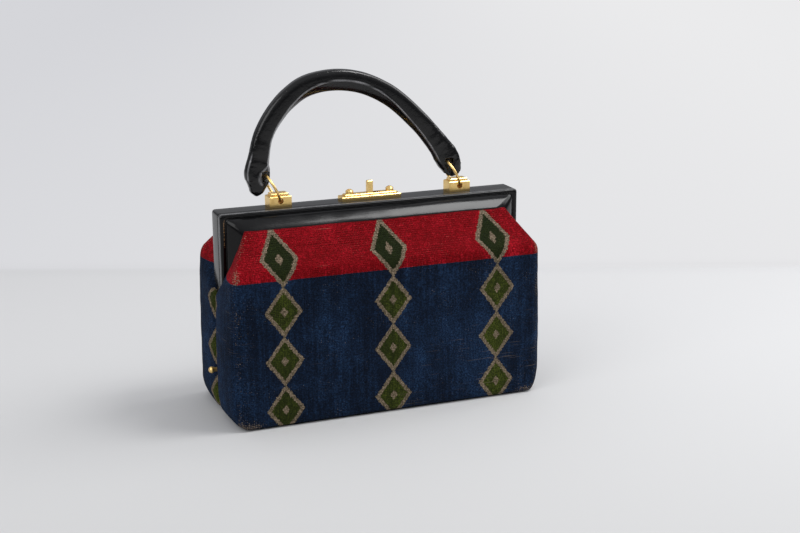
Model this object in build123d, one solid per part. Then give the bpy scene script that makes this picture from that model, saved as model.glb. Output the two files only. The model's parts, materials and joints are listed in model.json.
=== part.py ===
from build123d import *
import math
import os

# Boxy velvet handbag with a hinged, leather-covered frame and one top handle.
# Millimetres, +Z up, +X to the right and +Y to the rear as seen from the front.
# The origin is on the ground under the middle of the base.

# Body: two velvet halves that meet in a valley at the sides
body_width = 241.0
half_depth = 49.2
side_swell = 4.6
shoulder_height = 117.1
valley_gap = 1.6
valley_setback = 6.0
valley_roll = 5.6
plan_corner = 7.0
foot_corner = 18.0
foot_edge = 3.6
swell_height = 34.0
upper_swell = 1.0
shoulder_round = 5.0
side_slope_foot = 93.0
velvet_thickness = 1.5
board_thickness = 1.3
lining_thickness = 0.8
layer_gap = 0.05
base_thickness = 2.4
base_gap = 0.3
base_margin = 7.0
base_reach = 3.0
base_corner = 8.0

# Frame halves: leather-covered picture frames around steel bars
frame_setback = 3.8
frame_top = 153.2
parting_y = -5.0
parting_gap = 0.3
front_rim = 3.4
rear_rim = 16.4
front_edge_y = -20.6
rear_edge_y = 22.0
edge_drop = 11.1
edge_inset = 15.8
rim_wall = 6.0
bevel_wall = 2.2
leather_foot = 56.0
frame_corner = 2.0
cover_clearance = 0.3
bar_thickness = 2.4
front_bar_inset = 3.6
front_bar_depth = 5.3
rear_bar_inset = 0.9
rear_bar_depth = 11.0
rear_bar_setback = 1.2

# Frame hinge at each side, with a ball-headed rivet
pivot_y = 0.0
pivot_z = 34.0
eye_radius = 5.5
rivet_radius = 1.6
rivet_running_gap = 0.05
ball_radius = 2.5
ball_stand = 5.4
tail_radius = 3.2
tail_thickness = 1.2
notch_gap = 0.6

# Side gussets: leather strips folded inwards between the frame legs
gusset_thickness = 0.9
gusset_reach = 10.0
gusset_spread = 6.5
gusset_foot = 14.0
gusset_head = 136.0
gusset_seat = 4.3

# Hardware on the frame top, set a little right of the middle
hardware_x = 1.9
hardware_y = 4.0
post_spacing = 143.6
post_width = 17.0
post_depth = 12.0
post_height = 8.0
pad_width = 13.4
pad_depth = 8.4
pad_height = 2.0
brass_bevel = 0.6
post_hole_radius = 2.25
post_hole_height = 4.6
screw_radius = 1.5
screw_head_radius = 3.0
screw_head_thickness = 1.6
screw_seat_z = 147.0
screw_length_in_post = 2.0
screw_recess_depth = 6.0
bore_gap = 0.1

# Lock: plate, sliding bolt with an upright thumb post, two studs and a hooked catch
plate_length = 47.0
plate_depth = 10.6
plate_height = 2.9
tier_length = 41.0
tier_depth = 7.4
tier_height = 1.4
stud_spacing = 32.2
stud_radius = 3.0
stud_drum = 2.0
stud_dome = 1.7
stud_slot_width = 0.8
stud_slot_depth = 0.9
slide_travel = 6.0
thumb_width = 4.4
thumb_depth = 3.4
thumb_height = 9.2
shoe_length = 9.0
shoe_depth = 5.6
shoe_thickness = 1.3
slide_gap = 0.35
finger_width = 3.4
finger_depth = 2.6
finger_foot_z = 145.4
catch_thickness = 1.8
catch_top_z = 147.2
catch_width = 9.0
catch_offset = 1.6
catch_hook = 2.4
catch_root = 4.6
catch_play = 0.5

# Rings that join the handle to the posts, leaning to the left
ring_radius = 11.5
wire_radius = 1.0
ring_lean = 27.0

# Handle: leather over a firm core, with a welt along its inner side.
# The route gives shares of the post spacing from the hardware's middle and heights above the rings' middles.
handle_route = [
    (-0.602, 14.7),
    (-0.594, 23.7),
    (-0.569, 38.7),
    (-0.459, 61.2),
    (-0.299, 74.5),
    (-0.111, 75.5),
    (0.084, 64.7),
    (0.272, 42.5),
    (0.394, 22.3),
    (0.423, 15.7),
]
route_start_heading = (0, 0, 1)
route_end_heading = (0.3, 0, -1)
handle_width = 14.8
handle_depth = 10.4
handle_corner = 4.2
welt_width = 1.8
welt_height = 1.6
core_width = 8.0
core_depth = 4.6
core_end_share = 0.1

# Handle ends: outlines, slots and the notch over the right post, measured from each ring's middle
left_end_outline = [
    (-11.9, 25.7),
    (-16.9, 19.7),
    (-18.7, 12.7),
    (-17.9, 3.7),
    (-15.5, -2.7),
    (-12.5, -4.5),
    (-6.7, -0.3),
    (-1.9, 6.3),
    (-2.5, 16.7),
    (-5.9, 25.7),
]
right_end_outline = [
    (-6.3, 24.3),
    (2.5, 20.3),
    (7.7, 12.3),
    (9.1, 6.7),
    (7.5, 1.6),
    (1.1, -1.3),
    (-4.5, -2.3),
    (-8.5, 2.9),
    (-13.9, 12.3),
    (-13.9, 20.3),
]
end_depth = 9.0
end_round = 2.6
slot_outer_reach = 6.6
slot_inner_reach = 3.9
slot_low_radius = 9.0
slot_high_radius = 12.8
notch_left_reach = 2.3
notch_right_reach = 4.3
notch_height = 4.3
tip_trim_height = 3.3
pin_radius = 1.6
pin_ring_gap = 0.3
pin_wall = 1.2
pin_reach = 4.6
pin_running_gap = 0.05

# Values that follow from the sizes above
half_width = body_width / 2
frame_half = (body_width - frame_setback) / 2
valley_width = body_width - valley_setback
ball_x = half_width + ball_stand
front_start = parting_y - parting_gap / 2
rear_start = parting_y + parting_gap / 2
edge_top = frame_top - edge_drop
edge_half = frame_half - edge_inset
front_bar_start = front_start - layer_gap
rear_bar_start = rear_start + rear_bar_setback
lean = math.radians(ring_lean)
post_left_x = hardware_x - post_spacing / 2
post_right_x = hardware_x + post_spacing / 2
post_hole_z = frame_top + post_hole_height
plate_top = frame_top + plate_height
tier_top = plate_top + tier_height
plane_span = 400.0
cut_overrun = 1.0
FRONT = -1
REAR = 1


def at_y(y):
    """Upright plane at the given y, with local x along +X and local y along +Z."""
    return Plane(origin=(0, y, 0), x_dir=(1, 0, 0), z_dir=(0, -1, 0))


def box_between(low, high):
    """Box from its lowest to its highest corner."""
    size = [high[i] - low[i] for i in range(3)]
    middle = [(high[i] + low[i]) / 2 for i in range(3)]
    return Pos(*middle) * Box(*size)


def both_sides(shape):
    """A shape on the right and its mirror image on the left."""
    return shape + mirror(shape, about=Plane.YZ)


def rod_along_x(radius, x_from, x_to, y, z):
    """Round rod along X."""
    middle = Pos((x_from + x_to) / 2, y, z)
    return middle * Rot(0, 90, 0) * Cylinder(radius, abs(x_to - x_from))


# Velvet body, boards and lining


def body_foot(half):
    """Underside of one half: the rear sits on the base panel, the front just clears it."""
    return base_thickness + (base_gap if half == FRONT else 0)


def plan_face(half, inset):
    """Outline of one half seen from above: swollen sides that roll into the valley."""
    near = valley_gap + inset
    far = half_depth - inset
    roll_x = valley_width / 2 - inset
    lobe_x = half_width + side_swell - inset
    wall_x = half_width - inset
    corner = plan_corner - inset
    roll = [
        Line((0, near), (roll_x, near)),
        RadiusArc((roll_x, near), (roll_x + valley_roll, near + valley_roll), -valley_roll),
        ThreePointArc(
            (roll_x + valley_roll, near + valley_roll),
            (lobe_x, half_depth / 2),
            (wall_x, far - corner),
        ),
        RadiusArc((wall_x, far - corner), (wall_x - corner, far), -corner),
        Line((wall_x - corner, far), (0, far)),
    ]
    right = Curve() + roll
    outline = right + mirror(right, about=Plane.YZ)
    face = make_face(outline.edges())
    if half == FRONT:
        face = mirror(face, about=Plane.XZ)
    return face


def front_face(half, inset):
    """Outline seen from the front: sides widest low down, with rounded lower corners."""
    foot = body_foot(half) + inset
    wall = half_width + upper_swell - inset
    swell = half_width + side_swell - inset
    corner = foot_corner - inset
    low = [
        Line((0, foot), (swell - corner, foot)),
        RadiusArc((swell - corner, foot), (swell, foot + corner), -corner),
        ThreePointArc(
            (swell, foot + corner),
            (swell - upper_swell, swell_height + foot_corner),
            (wall, shoulder_height),
        ),
        Line((wall, shoulder_height), (wall, frame_top)),
        Line((wall, frame_top), (0, frame_top)),
    ]
    right = Curve() + low
    outline = right + mirror(right, about=Plane.YZ)
    return make_face(outline.edges())


def side_face(half, inset):
    """Outline seen from the side: wall, rounded shoulder and the slope up to the frame."""
    foot = body_foot(half) + inset
    wall = half_depth - inset
    near = valley_gap + inset
    edge_y = rear_edge_y if half == REAR else -front_edge_y
    rise = math.atan2(edge_top - shoulder_height, half_depth - edge_y)
    drop = inset / math.cos(rise)
    slope = math.tan(rise)
    shoulder_z = shoulder_height - drop + inset * slope
    points = [
        (near, foot),
        (wall, foot),
        (wall, shoulder_z),
        (edge_y, edge_top - drop),
        (near, edge_top - drop),
    ]
    face = make_face(Polyline(*points, close=True).edges())
    corners = face.vertices()
    foot_outer = corners.sort_by_distance((wall, foot, 0))[0]
    face = fillet(foot_outer, foot_edge)
    shoulder = face.vertices().sort_by_distance((wall, shoulder_z, 0))[0]
    face = fillet(shoulder, shoulder_round)
    return face


def slope_cutter(half, inset):
    """Space outside the sloping shoulder at the right end of one half."""
    edge_y = rear_edge_y if half == REAR else -front_edge_y
    start_y = rear_start if half == REAR else -front_start
    edge_point = Vector(edge_half, edge_y, edge_top)
    foot_point = Vector(frame_half + upper_swell, abs(start_y), side_slope_foot)
    corner_point = Vector(half_width, half_depth, shoulder_height)
    normal = (corner_point - edge_point).cross(foot_point - edge_point).normalized()
    if normal.X < 0:
        normal = normal * -1
    origin = edge_point - normal * inset
    plane = Plane(origin=origin, z_dir=normal)
    space = plane * Pos(0, 0, plane_span / 2) * Box(plane_span, plane_span, plane_span)
    if half == FRONT:
        space = mirror(space, about=Plane.XZ)
    return space


def half_block(half, inset):
    """Solid form of one half of the body, drawn in by an inset."""
    block = extrude(plan_face(half, inset), frame_top)
    depth_plane = Plane.XZ
    across = extrude(depth_plane * front_face(half, inset), half_depth, both=True)
    side_plane = Plane.YZ
    profile = side_plane * side_face(half, inset)
    if half == FRONT:
        profile = mirror(profile, about=Plane.XZ)
    along = extrude(profile, body_width, both=True)
    block = block & across & along
    return block - both_sides(slope_cutter(half, inset))


def body_layer(half, outer, thickness):
    """One layer of the body wall, open towards the other half and under the frame."""
    inner = outer + thickness
    solid = half_block(half, outer)
    hollow = half_block(half, inner)
    reach = valley_gap + inner + foot_edge
    mouth_x = valley_width / 2 - inner
    mouth = box_between((-mouth_x, 0, body_foot(half) + inner), (mouth_x, reach, frame_top))
    if half == FRONT:
        mouth = mirror(mouth, about=Plane.XZ)
    layer = solid - hollow - mouth
    layer = layer - frame_envelope(FRONT) - frame_envelope(REAR)
    notch = rod_along_x(rivet_radius + notch_gap, -plane_span / 2, plane_span / 2, pivot_y, pivot_z)
    return layer - notch


def base_panel():
    """Stiff bottom panel that the bag stands on."""
    width = 2 * (half_width + side_swell - foot_corner + base_reach)
    depth = 2 * half_depth - base_margin
    sheet = RectangleRounded(width, depth, base_corner)
    return extrude(sheet, base_thickness)


# Frame


def frame_rect(y, half_size, top, foot):
    """Rectangle with rounded corners in an upright plane, centred on the bag."""
    sheet = RectangleRounded(2 * half_size, top - foot, frame_corner)
    return at_y(y) * Pos(0, (top + foot) / 2) * sheet


def frame_stations(half):
    """Places along Y where a frame half starts, where its bevel starts and where it ends."""
    if half == FRONT:
        return front_start, front_start - front_rim, front_edge_y
    return rear_start, rear_start + rear_rim, rear_edge_y


def frame_form(half, grow, foot):
    """Solid form of a frame half: a rim block and a bevel that narrows to the velvet's edge."""
    start, rim, edge = frame_stations(half)
    rim_far = rim + half * grow
    edge_far = edge + half * grow
    wide = (frame_half + grow, frame_top + grow, foot)
    narrow = (edge_half + grow, edge_top + grow, foot)
    block = loft([frame_rect(start - half * grow, *wide), frame_rect(rim_far, *wide)], ruled=True)
    bevel = loft([frame_rect(rim_far, *wide), frame_rect(edge_far, *narrow)], ruled=True)
    return block + bevel


def frame_envelope(half):
    """Room that the body layers leave for a frame half and its legs."""
    foot = pivot_z - eye_radius - notch_gap
    return frame_form(half, cover_clearance, foot)


def frame_mouth(half, foot):
    """The opening through a frame half, widest at the parting line."""
    start, _, edge = frame_stations(half)
    step = bevel_wall
    start_size = frame_half - rim_wall
    edge_size = edge_half - bevel_wall
    start_top = frame_top - rim_wall
    end_top = edge_top - bevel_wall
    run = abs(edge - start)
    size_slope = (start_size - edge_size) / run
    top_slope = (start_top - end_top) / run
    first = frame_rect(start - half * step, start_size + size_slope * step, start_top + top_slope * step, foot)
    last = frame_rect(edge + half * step, edge_size - size_slope * step, end_top - top_slope * step, foot)
    return loft([first, last], ruled=True)


def frame_bar(half):
    """Steel bar bent to a U, with an eye at each leg's end."""
    inset = front_bar_inset if half == FRONT else rear_bar_inset
    depth = front_bar_depth if half == FRONT else rear_bar_depth
    near = front_bar_start if half == FRONT else rear_bar_start
    far = near + half * depth
    outer = frame_half - inset
    top = frame_top - inset
    inner = outer - bar_thickness
    low, high = min(near, far), max(near, far)
    bar = box_between((-outer, low, leather_foot), (outer, high, top))
    room_low = (-inner, low - cut_overrun, leather_foot - cut_overrun)
    bar = bar - box_between(room_low, (inner, high + cut_overrun, top - bar_thickness))
    leg_points = [
        (low, leather_foot),
        (high, leather_foot),
        (pivot_y + eye_radius, pivot_z),
        (pivot_y - eye_radius, pivot_z),
    ]
    leg_side = make_face(Polyline(*leg_points, close=True).edges())
    leg_side = leg_side + Pos(pivot_y, pivot_z) * Circle(eye_radius)
    leg_side = leg_side - Pos(pivot_y, pivot_z) * Circle(rivet_radius + rivet_running_gap)
    leg_plane = Plane(origin=(inner, 0, 0), x_dir=(0, 1, 0), z_dir=(1, 0, 0))
    leg = extrude(leg_plane * leg_side, bar_thickness)
    return bar + both_sides(leg)


def frame_cover(half):
    """Leather-covered frame half: rim, mitred bevel and two legs."""
    cover = frame_form(half, 0, leather_foot)
    return cover - frame_mouth(half, leather_foot - cut_overrun) - frame_bar(half)


def rivet(side):
    """Hinge rivet: ball outside in the valley, flat tail inside the frame legs."""
    bar_inner = frame_half - front_bar_inset - bar_thickness
    shank = rod_along_x(rivet_radius, bar_inner, ball_x, pivot_y, pivot_z)
    tail = rod_along_x(tail_radius, bar_inner - tail_thickness, bar_inner, pivot_y, pivot_z)
    head = Pos(ball_x, pivot_y, pivot_z) * Sphere(ball_radius)
    piece = shank + tail + head
    if side < 0:
        piece = mirror(piece, about=Plane.YZ)
    return piece


def gusset(side):
    """Leather strip folded inwards between the front and rear frame legs."""
    outer_x = frame_half - rim_wall - gusset_seat
    middle_y = (pivot_y + parting_y) / 2
    ends = (outer_x, middle_y - gusset_spread), (outer_x, middle_y + gusset_spread)
    fold = (outer_x - gusset_reach, middle_y)
    inner_fold = (fold[0] + 2 * gusset_thickness, middle_y)
    run = Polyline(
        ends[0],
        fold,
        ends[1],
        (ends[1][0], ends[1][1] - gusset_thickness),
        inner_fold,
        (ends[0][0], ends[0][1] + gusset_thickness),
        close=True,
    )
    strip = extrude(Pos(0, 0, gusset_foot) * make_face(run.edges()), gusset_head - gusset_foot)
    if side < 0:
        strip = mirror(strip, about=Plane.YZ)
    return strip


# Hardware on the frame


def ring_post(x):
    """Stepped brass block with a hole from front to back for the ring."""
    base = Pos(x, hardware_y, frame_top + post_height / 2) * Box(post_width, post_depth, post_height)
    base = chamfer(base.edges().group_by(Axis.Z)[-1], brass_bevel)
    pad_z = frame_top + post_height + pad_height / 2
    pad = Pos(x, hardware_y, pad_z) * Box(pad_width, pad_depth, pad_height)
    pad = chamfer(pad.edges().group_by(Axis.Z)[-1], brass_bevel)
    hole = Pos(x, hardware_y, post_hole_z) * Rot(90, 0, 0) * Cylinder(post_hole_radius, 2 * post_depth)
    return base + pad - hole - screw_bore(x, hardware_y, bore_gap)


def screw_bore(x, y, gap):
    """Room for a screw or stud shank that runs up from inside the frame."""
    top = frame_top + screw_length_in_post
    return Pos(x, y, (screw_seat_z + top) / 2) * Cylinder(screw_radius + gap, top - screw_seat_z)


def screw_recess(x, y):
    """Room for a screw head below its seat."""
    room = Cylinder(screw_head_radius + bore_gap, screw_recess_depth)
    return Pos(x, y, screw_seat_z - screw_recess_depth / 2) * room


def post_screw(x):
    """Screw that holds a post, with its head inside the frame."""
    head_z = screw_seat_z - screw_head_thickness / 2
    head = Pos(x, hardware_y, head_z) * Cylinder(screw_head_radius, screw_head_thickness)
    return head + screw_bore(x, hardware_y, 0)


def stud_places():
    """Middle of each lock stud along X."""
    return hardware_x - stud_spacing / 2, hardware_x + stud_spacing / 2


def lock_stud(x):
    """Domed, slotted stud that holds the lock plate down through the frame."""
    dome_radius = (stud_radius**2 + stud_dome**2) / (2 * stud_dome)
    drum_top = tier_top + stud_drum
    drum = Pos(x, hardware_y, tier_top + stud_drum / 2) * Cylinder(stud_radius, stud_drum)
    ball = Pos(x, hardware_y, drum_top + stud_dome - dome_radius) * Sphere(dome_radius)
    cap = ball & Pos(x, hardware_y, drum_top + stud_dome / 2) * Cylinder(stud_radius, stud_dome)
    slot_z = drum_top + stud_dome - stud_slot_depth / 2
    slot = Pos(x, hardware_y, slot_z) * Box(4 * stud_radius, stud_slot_width, stud_slot_depth)
    shank_length = tier_top - screw_seat_z
    shank = Pos(x, hardware_y, screw_seat_z + shank_length / 2) * Cylinder(screw_radius, shank_length)
    return drum + cap - slot + shank


def lock_plate():
    """Stepped brass plate with a slot for the thumb post and a pocket for its shoe."""
    middle = Pos(hardware_x, hardware_y)
    base = middle * Pos(0, 0, frame_top + plate_height / 2) * Box(plate_length, plate_depth, plate_height)
    base = chamfer(base.edges().group_by(Axis.Z)[-1], brass_bevel)
    tier = middle * Pos(0, 0, plate_top + tier_height / 2) * Box(tier_length, tier_depth, tier_height)
    tier = chamfer(tier.edges().group_by(Axis.Z)[-1], brass_bevel)
    plate = base + tier
    slot_low = (
        hardware_x - thumb_width / 2 - slide_gap,
        hardware_y - thumb_depth / 2 - slide_gap,
        frame_top,
    )
    slot_high = (
        hardware_x + thumb_width / 2 + slide_travel + slide_gap,
        hardware_y + thumb_depth / 2 + slide_gap,
        tier_top,
    )
    pocket_low = (
        hardware_x - shoe_length / 2 - slide_gap,
        hardware_y - shoe_depth / 2 - slide_gap,
        frame_top,
    )
    pocket_high = (
        hardware_x + shoe_length / 2 + slide_travel + slide_gap,
        hardware_y + shoe_depth / 2 + slide_gap,
        frame_top + shoe_thickness + 2 * slide_gap,
    )
    plate = plate - box_between(slot_low, slot_high) - box_between(pocket_low, pocket_high)
    for x in stud_places():
        plate = plate - Pos(x, hardware_y, plate_top) * Cylinder(screw_radius + bore_gap, 4 * plate_height)
    return plate


def lock_slider():
    """Thumb post, shoe under the plate and the finger that reaches down to the catch."""
    shoe_z = frame_top + slide_gap
    post_low = (hardware_x - thumb_width / 2, hardware_y - thumb_depth / 2, shoe_z)
    post_high = (hardware_x + thumb_width / 2, hardware_y + thumb_depth / 2, tier_top + thumb_height)
    post = box_between(post_low, post_high)
    post = chamfer(post.edges().group_by(Axis.Z)[-1], brass_bevel)
    shoe_low = (hardware_x - shoe_length / 2, hardware_y - shoe_depth / 2, shoe_z)
    shoe_high = (hardware_x + shoe_length / 2, hardware_y + shoe_depth / 2, shoe_z + shoe_thickness)
    finger_low = (hardware_x - finger_width / 2, hardware_y - finger_depth / 2, finger_foot_z)
    finger_high = (hardware_x + finger_width / 2, hardware_y + finger_depth / 2, shoe_z)
    return post + box_between(shoe_low, shoe_high) + box_between(finger_low, finger_high)


def finger_slot():
    """Slot through the rear frame half for the finger and its travel."""
    low = (
        hardware_x - finger_width / 2 - slide_gap,
        hardware_y - finger_depth / 2 - slide_gap,
        finger_foot_z - finger_depth,
    )
    high = (
        hardware_x + finger_width / 2 + slide_travel + slide_gap,
        hardware_y + finger_depth / 2 + slide_gap,
        plate_top,
    )
    return box_between(low, high)


def catch_span():
    """Left and right ends of the catch, clear of the finger at rest."""
    left = hardware_x + finger_width / 2 + catch_offset
    return left, left + catch_width


def catch_reach():
    """How far back the catch's hook reaches."""
    return hardware_y + finger_depth / 2 + catch_play + catch_hook


def front_catch():
    """Hooked tongue on the front bar: the finger slides into its notch from the left."""
    left, right = catch_span()
    low_z = catch_top_z - catch_thickness
    tongue = box_between((left, front_bar_start - catch_root, low_z), (right, catch_reach(), catch_top_z))
    notch_low = (left - cut_overrun, hardware_y - finger_depth / 2 - catch_play, low_z - cut_overrun)
    notch_right = hardware_x + finger_width / 2 + slide_travel + catch_play
    notch_high = (notch_right, hardware_y + finger_depth / 2 + catch_play, catch_top_z + cut_overrun)
    return tongue - box_between(notch_low, notch_high)


def catch_seat():
    """Room in the front leather for the catch's root under the front bar."""
    left, right = catch_span()
    low_z = catch_top_z - catch_thickness - bore_gap
    low = (left - bore_gap, front_bar_start - catch_root - bore_gap, low_z)
    return box_between(low, (right + bore_gap, front_start + cut_overrun, catch_top_z + bore_gap))


def catch_pocket():
    """Room in the rear frame half for the catch."""
    left, right = catch_span()
    low = (left - catch_play, rear_start - cut_overrun, catch_top_z - 3 * catch_thickness)
    high = (right + catch_play, catch_reach() + catch_play, catch_top_z + catch_play)
    return box_between(low, high)


def rear_fittings_room():
    """Everything that the rear frame half is bored and slotted for."""
    room = finger_slot() + catch_pocket()
    for x in (post_left_x, post_right_x):
        room = room + screw_bore(x, hardware_y, bore_gap) + screw_recess(x, hardware_y)
    for x in stud_places():
        room = room + screw_bore(x, hardware_y, bore_gap)
    return room


# Rings and handle


def ring_axis():
    """Unit normal of both rings' plane."""
    return Vector(math.cos(lean), 0, math.sin(lean))


def ring_down():
    """Unit vector from a ring's middle to its lowest point."""
    return Vector(math.sin(lean), 0, -math.cos(lean))


def wire_sag():
    """Height of the wire's arc within a post, shared above and below the hole's middle."""
    return ring_radius - math.sqrt(ring_radius**2 - (post_depth / 2) ** 2)


def ring_centre(post_x):
    """Middle of the ring whose lowest stretch lies in a post's hole."""
    hole = Vector(post_x, hardware_y, post_hole_z)
    return hole - ring_down() * (ring_radius - wire_sag() / 2)


def ring(post_x):
    """Round brass ring."""
    return Plane(origin=ring_centre(post_x), z_dir=ring_axis()) * Torus(ring_radius, wire_radius)


def ring_top(post_x):
    """Highest point of the ring's centre line."""
    return ring_centre(post_x) - ring_down() * ring_radius


def pin_height():
    """Height of both handle pins: the rings' tops hang on them."""
    return ring_top(post_left_x).Z - wire_radius - pin_ring_gap - pin_radius


def handle_path():
    """Centre line of the handle, leaning left as it stands."""
    foot_z = ring_centre(post_left_x).Z
    points = [
        (hardware_x + share * post_spacing, hardware_y, foot_z + height) for share, height in handle_route
    ]
    return Spline(points, tangents=[route_start_heading, route_end_heading])


def along_path(path, profile):
    """Profile carried along the handle, its depth along Y."""
    section = Plane(origin=path @ 0, x_dir=(0, 1, 0), z_dir=path % 0)
    return sweep(section * profile, path=path)


def handle_core():
    """Firm filler inside the leather, short of both ends."""
    path = handle_path().trim(core_end_share, 1 - core_end_share)
    return along_path(path, Ellipse(core_depth / 2, core_width / 2))


def end_points(post_x):
    """Outline of the handle end that hangs on a post's ring, in the bag's own coordinates."""
    outline = left_end_outline if post_x == post_left_x else right_end_outline
    middle = ring_centre(post_x)
    return [(middle.X + x, middle.Z + z) for x, z in outline]


def handle_end(post_x):
    """Flat rounded end of the handle over a post."""
    outline = end_points(post_x)
    face = at_y(hardware_y) * make_face(Spline(outline) + Line(outline[-1], outline[0]))
    end = extrude(face, end_depth / 2, both=True)
    layers = end.edges().group_by(Axis.Y)
    return fillet(layers[0] + layers[-1], end_round)


def handle_slot(post_x):
    """Slot from front to back in a handle end, curved about the swing axis, for the ring."""
    middle = ring_centre(post_x)
    left = middle.X - slot_outer_reach
    width = slot_outer_reach + slot_inner_reach
    tube = rod_along_x(slot_high_radius, left, left + width, hardware_y, middle.Z)
    tube = tube - rod_along_x(slot_low_radius, left, left + width, hardware_y, middle.Z)
    low = (left, hardware_y - slot_high_radius, middle.Z)
    high = (left + width, hardware_y + slot_high_radius, middle.Z + slot_high_radius)
    return tube & box_between(low, high)


def tip_notch():
    """Opening in the right handle end over its post, rounded at the top, and the room its tip swings in."""
    middle = ring_centre(post_right_x)
    left = middle.X - notch_left_reach
    right = middle.X + notch_right_reach
    radius = (right - left) / 2
    crown_z = middle.Z + notch_height - radius
    low = (left, hardware_y - handle_depth, frame_top)
    opening = box_between(low, (right, hardware_y + handle_depth, crown_z))
    crown = Rot(90, 0, 0) * Cylinder(radius, 2 * handle_depth)
    opening = opening + Pos(left + radius, hardware_y, crown_z) * crown
    tip_high = (right + handle_width, hardware_y + handle_depth, middle.Z + tip_trim_height)
    return opening + box_between(low, tip_high)


def pin_span(post_x):
    """Left and right ends of a handle pin."""
    sides = [x for x, z in end_points(post_x) if abs(z - pin_height()) < pin_reach]
    return min(sides) + pin_wall, max(sides) - pin_wall


def handle_pin(post_x, gap=0.0):
    """Steel pin across a handle end, or the room for it."""
    low, high = pin_span(post_x)
    return rod_along_x(pin_radius + gap, low - gap, high + gap, hardware_y, pin_height())


def handle_leather():
    """Leather of the handle: padded arch, welt along the inner side and slotted flat ends."""
    path = handle_path()
    profile = RectangleRounded(handle_depth, handle_width, handle_corner)
    welt_y = -(handle_width + welt_height) / 2 + brass_bevel
    profile = profile + Pos(0, welt_y) * Rectangle(welt_width, welt_height + 2 * brass_bevel)
    leather = along_path(path, profile)
    leather = leather + handle_end(post_left_x) + handle_end(post_right_x)
    leather = leather - handle_core()
    for x in (post_left_x, post_right_x):
        leather = leather - handle_slot(x) - handle_pin(x, pin_running_gap)
    return leather - tip_notch()


def build_parts():
    """Every piece of the bag by name."""
    board_start = velvet_thickness + layer_gap
    lining_start = board_start + board_thickness + layer_gap
    parts = {}
    for half, name in ((FRONT, "front"), (REAR, "rear")):
        parts[name + "_velvet"] = body_layer(half, 0, velvet_thickness)
        parts[name + "_board"] = body_layer(half, board_start, board_thickness)
        parts[name + "_lining"] = body_layer(half, lining_start, lining_thickness)
    room = rear_fittings_room()
    parts["front_frame_bar"] = frame_bar(FRONT)
    parts["rear_frame_bar"] = frame_bar(REAR) - room
    parts["front_frame_leather"] = frame_cover(FRONT) - catch_seat()
    parts["rear_frame_leather"] = frame_cover(REAR) - room
    parts["base_panel"] = base_panel()
    parts["left_hinge_rivet"] = rivet(-1)
    parts["right_hinge_rivet"] = rivet(1)
    parts["left_gusset"] = gusset(-1)
    parts["right_gusset"] = gusset(1)
    parts["left_ring_post"] = ring_post(post_left_x)
    parts["right_ring_post"] = ring_post(post_right_x)
    parts["post_screws"] = Compound([post_screw(post_left_x), post_screw(post_right_x)])
    parts["lock_plate"] = lock_plate()
    parts["lock_studs"] = Compound([lock_stud(x) for x in stud_places()])
    parts["lock_slider"] = lock_slider()
    parts["front_catch"] = front_catch()
    parts["left_ring"] = ring(post_left_x)
    parts["right_ring"] = ring(post_right_x)
    parts["left_handle_pin"] = handle_pin(post_left_x)
    parts["right_handle_pin"] = handle_pin(post_right_x)
    parts["handle_core"] = handle_core()
    parts["handle_leather"] = handle_leather()
    return parts


os.makedirs("parts", exist_ok=True)
for part_name, part_shape in build_parts().items():
    export_step(part_shape, f"parts/{part_name}.step")
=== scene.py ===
import json
import math

import bpy
import numpy as np
from mathutils import Euler, Matrix, Vector


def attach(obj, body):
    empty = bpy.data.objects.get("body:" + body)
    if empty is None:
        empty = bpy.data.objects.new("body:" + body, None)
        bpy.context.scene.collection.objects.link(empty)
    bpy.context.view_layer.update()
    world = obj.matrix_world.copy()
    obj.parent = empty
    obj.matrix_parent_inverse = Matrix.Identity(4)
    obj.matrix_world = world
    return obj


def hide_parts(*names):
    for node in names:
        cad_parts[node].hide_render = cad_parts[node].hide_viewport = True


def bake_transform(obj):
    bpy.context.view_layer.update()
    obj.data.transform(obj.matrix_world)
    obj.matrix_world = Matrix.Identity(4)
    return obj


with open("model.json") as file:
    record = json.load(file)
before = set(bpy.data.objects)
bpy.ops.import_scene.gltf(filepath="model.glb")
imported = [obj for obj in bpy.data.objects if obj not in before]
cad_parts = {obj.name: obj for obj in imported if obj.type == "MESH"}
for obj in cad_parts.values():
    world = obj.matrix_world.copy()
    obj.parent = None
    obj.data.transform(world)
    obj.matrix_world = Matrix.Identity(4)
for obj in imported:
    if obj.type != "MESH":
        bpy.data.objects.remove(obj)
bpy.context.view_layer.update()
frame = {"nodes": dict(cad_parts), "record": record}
MM = 0.001
FRONT, REAR = -1, 1

# Sizes in millimetres, as in the CAD source
HALF_WIDTH, HALF_DEPTH, CORNER = 120.5, 49.2, 7.0
FOOT, SHOULDER, YOKE_Z = 2.5, 117.1, 110.9
ROOF_EDGE_HALF, ROOF_EDGE_Z = 102.85, 142.1
ROOF_EDGE_Y = {FRONT: 20.6, REAR: 22.0}
VALLEY_X, VALLEY_GAP, VALLEY_ROLL = 116.9, 1.6, 5.6
VALLEY_EDGE_Y, VALLEY_EDGE_Z = {FRONT: 5.15, REAR: 4.85}, 93.0
SIDE_SWELL, SHOULDER_FALL, RIM_DROOP = 3.6, 24.1, 1.7
# How much of its inset an inner surface gives up at its corners, its shoulder and its upper edge
CORNER_SHARE, SHOULDER_SHARE, EDGE_SHARE = 0.8, 0.55, 0.9
VELVET_WALL, LINING_WALL, LINING_INSET, GUSSET_WALL = 1.6, 1.0, 1.9, 0.9
FRAME_HALF, FRAME_TOP, FRAME_FOOT = 118.6, 153.2, 54.5
BEVEL_IN, BEVEL_DROP = 15.8, 11.1
HANDLE_Y = 4.0


# Geometry helpers


def smooth01(x):
    """Smoothstep of x clamped to 0..1."""
    x = np.clip(x, 0, 1)
    return x * x * (3 - 2 * x)


def bell(x, width):
    """exp(-(x / width)^2): 1 on a line, fading to 0 on both sides."""
    return np.exp(-((x / width) ** 2))


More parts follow.
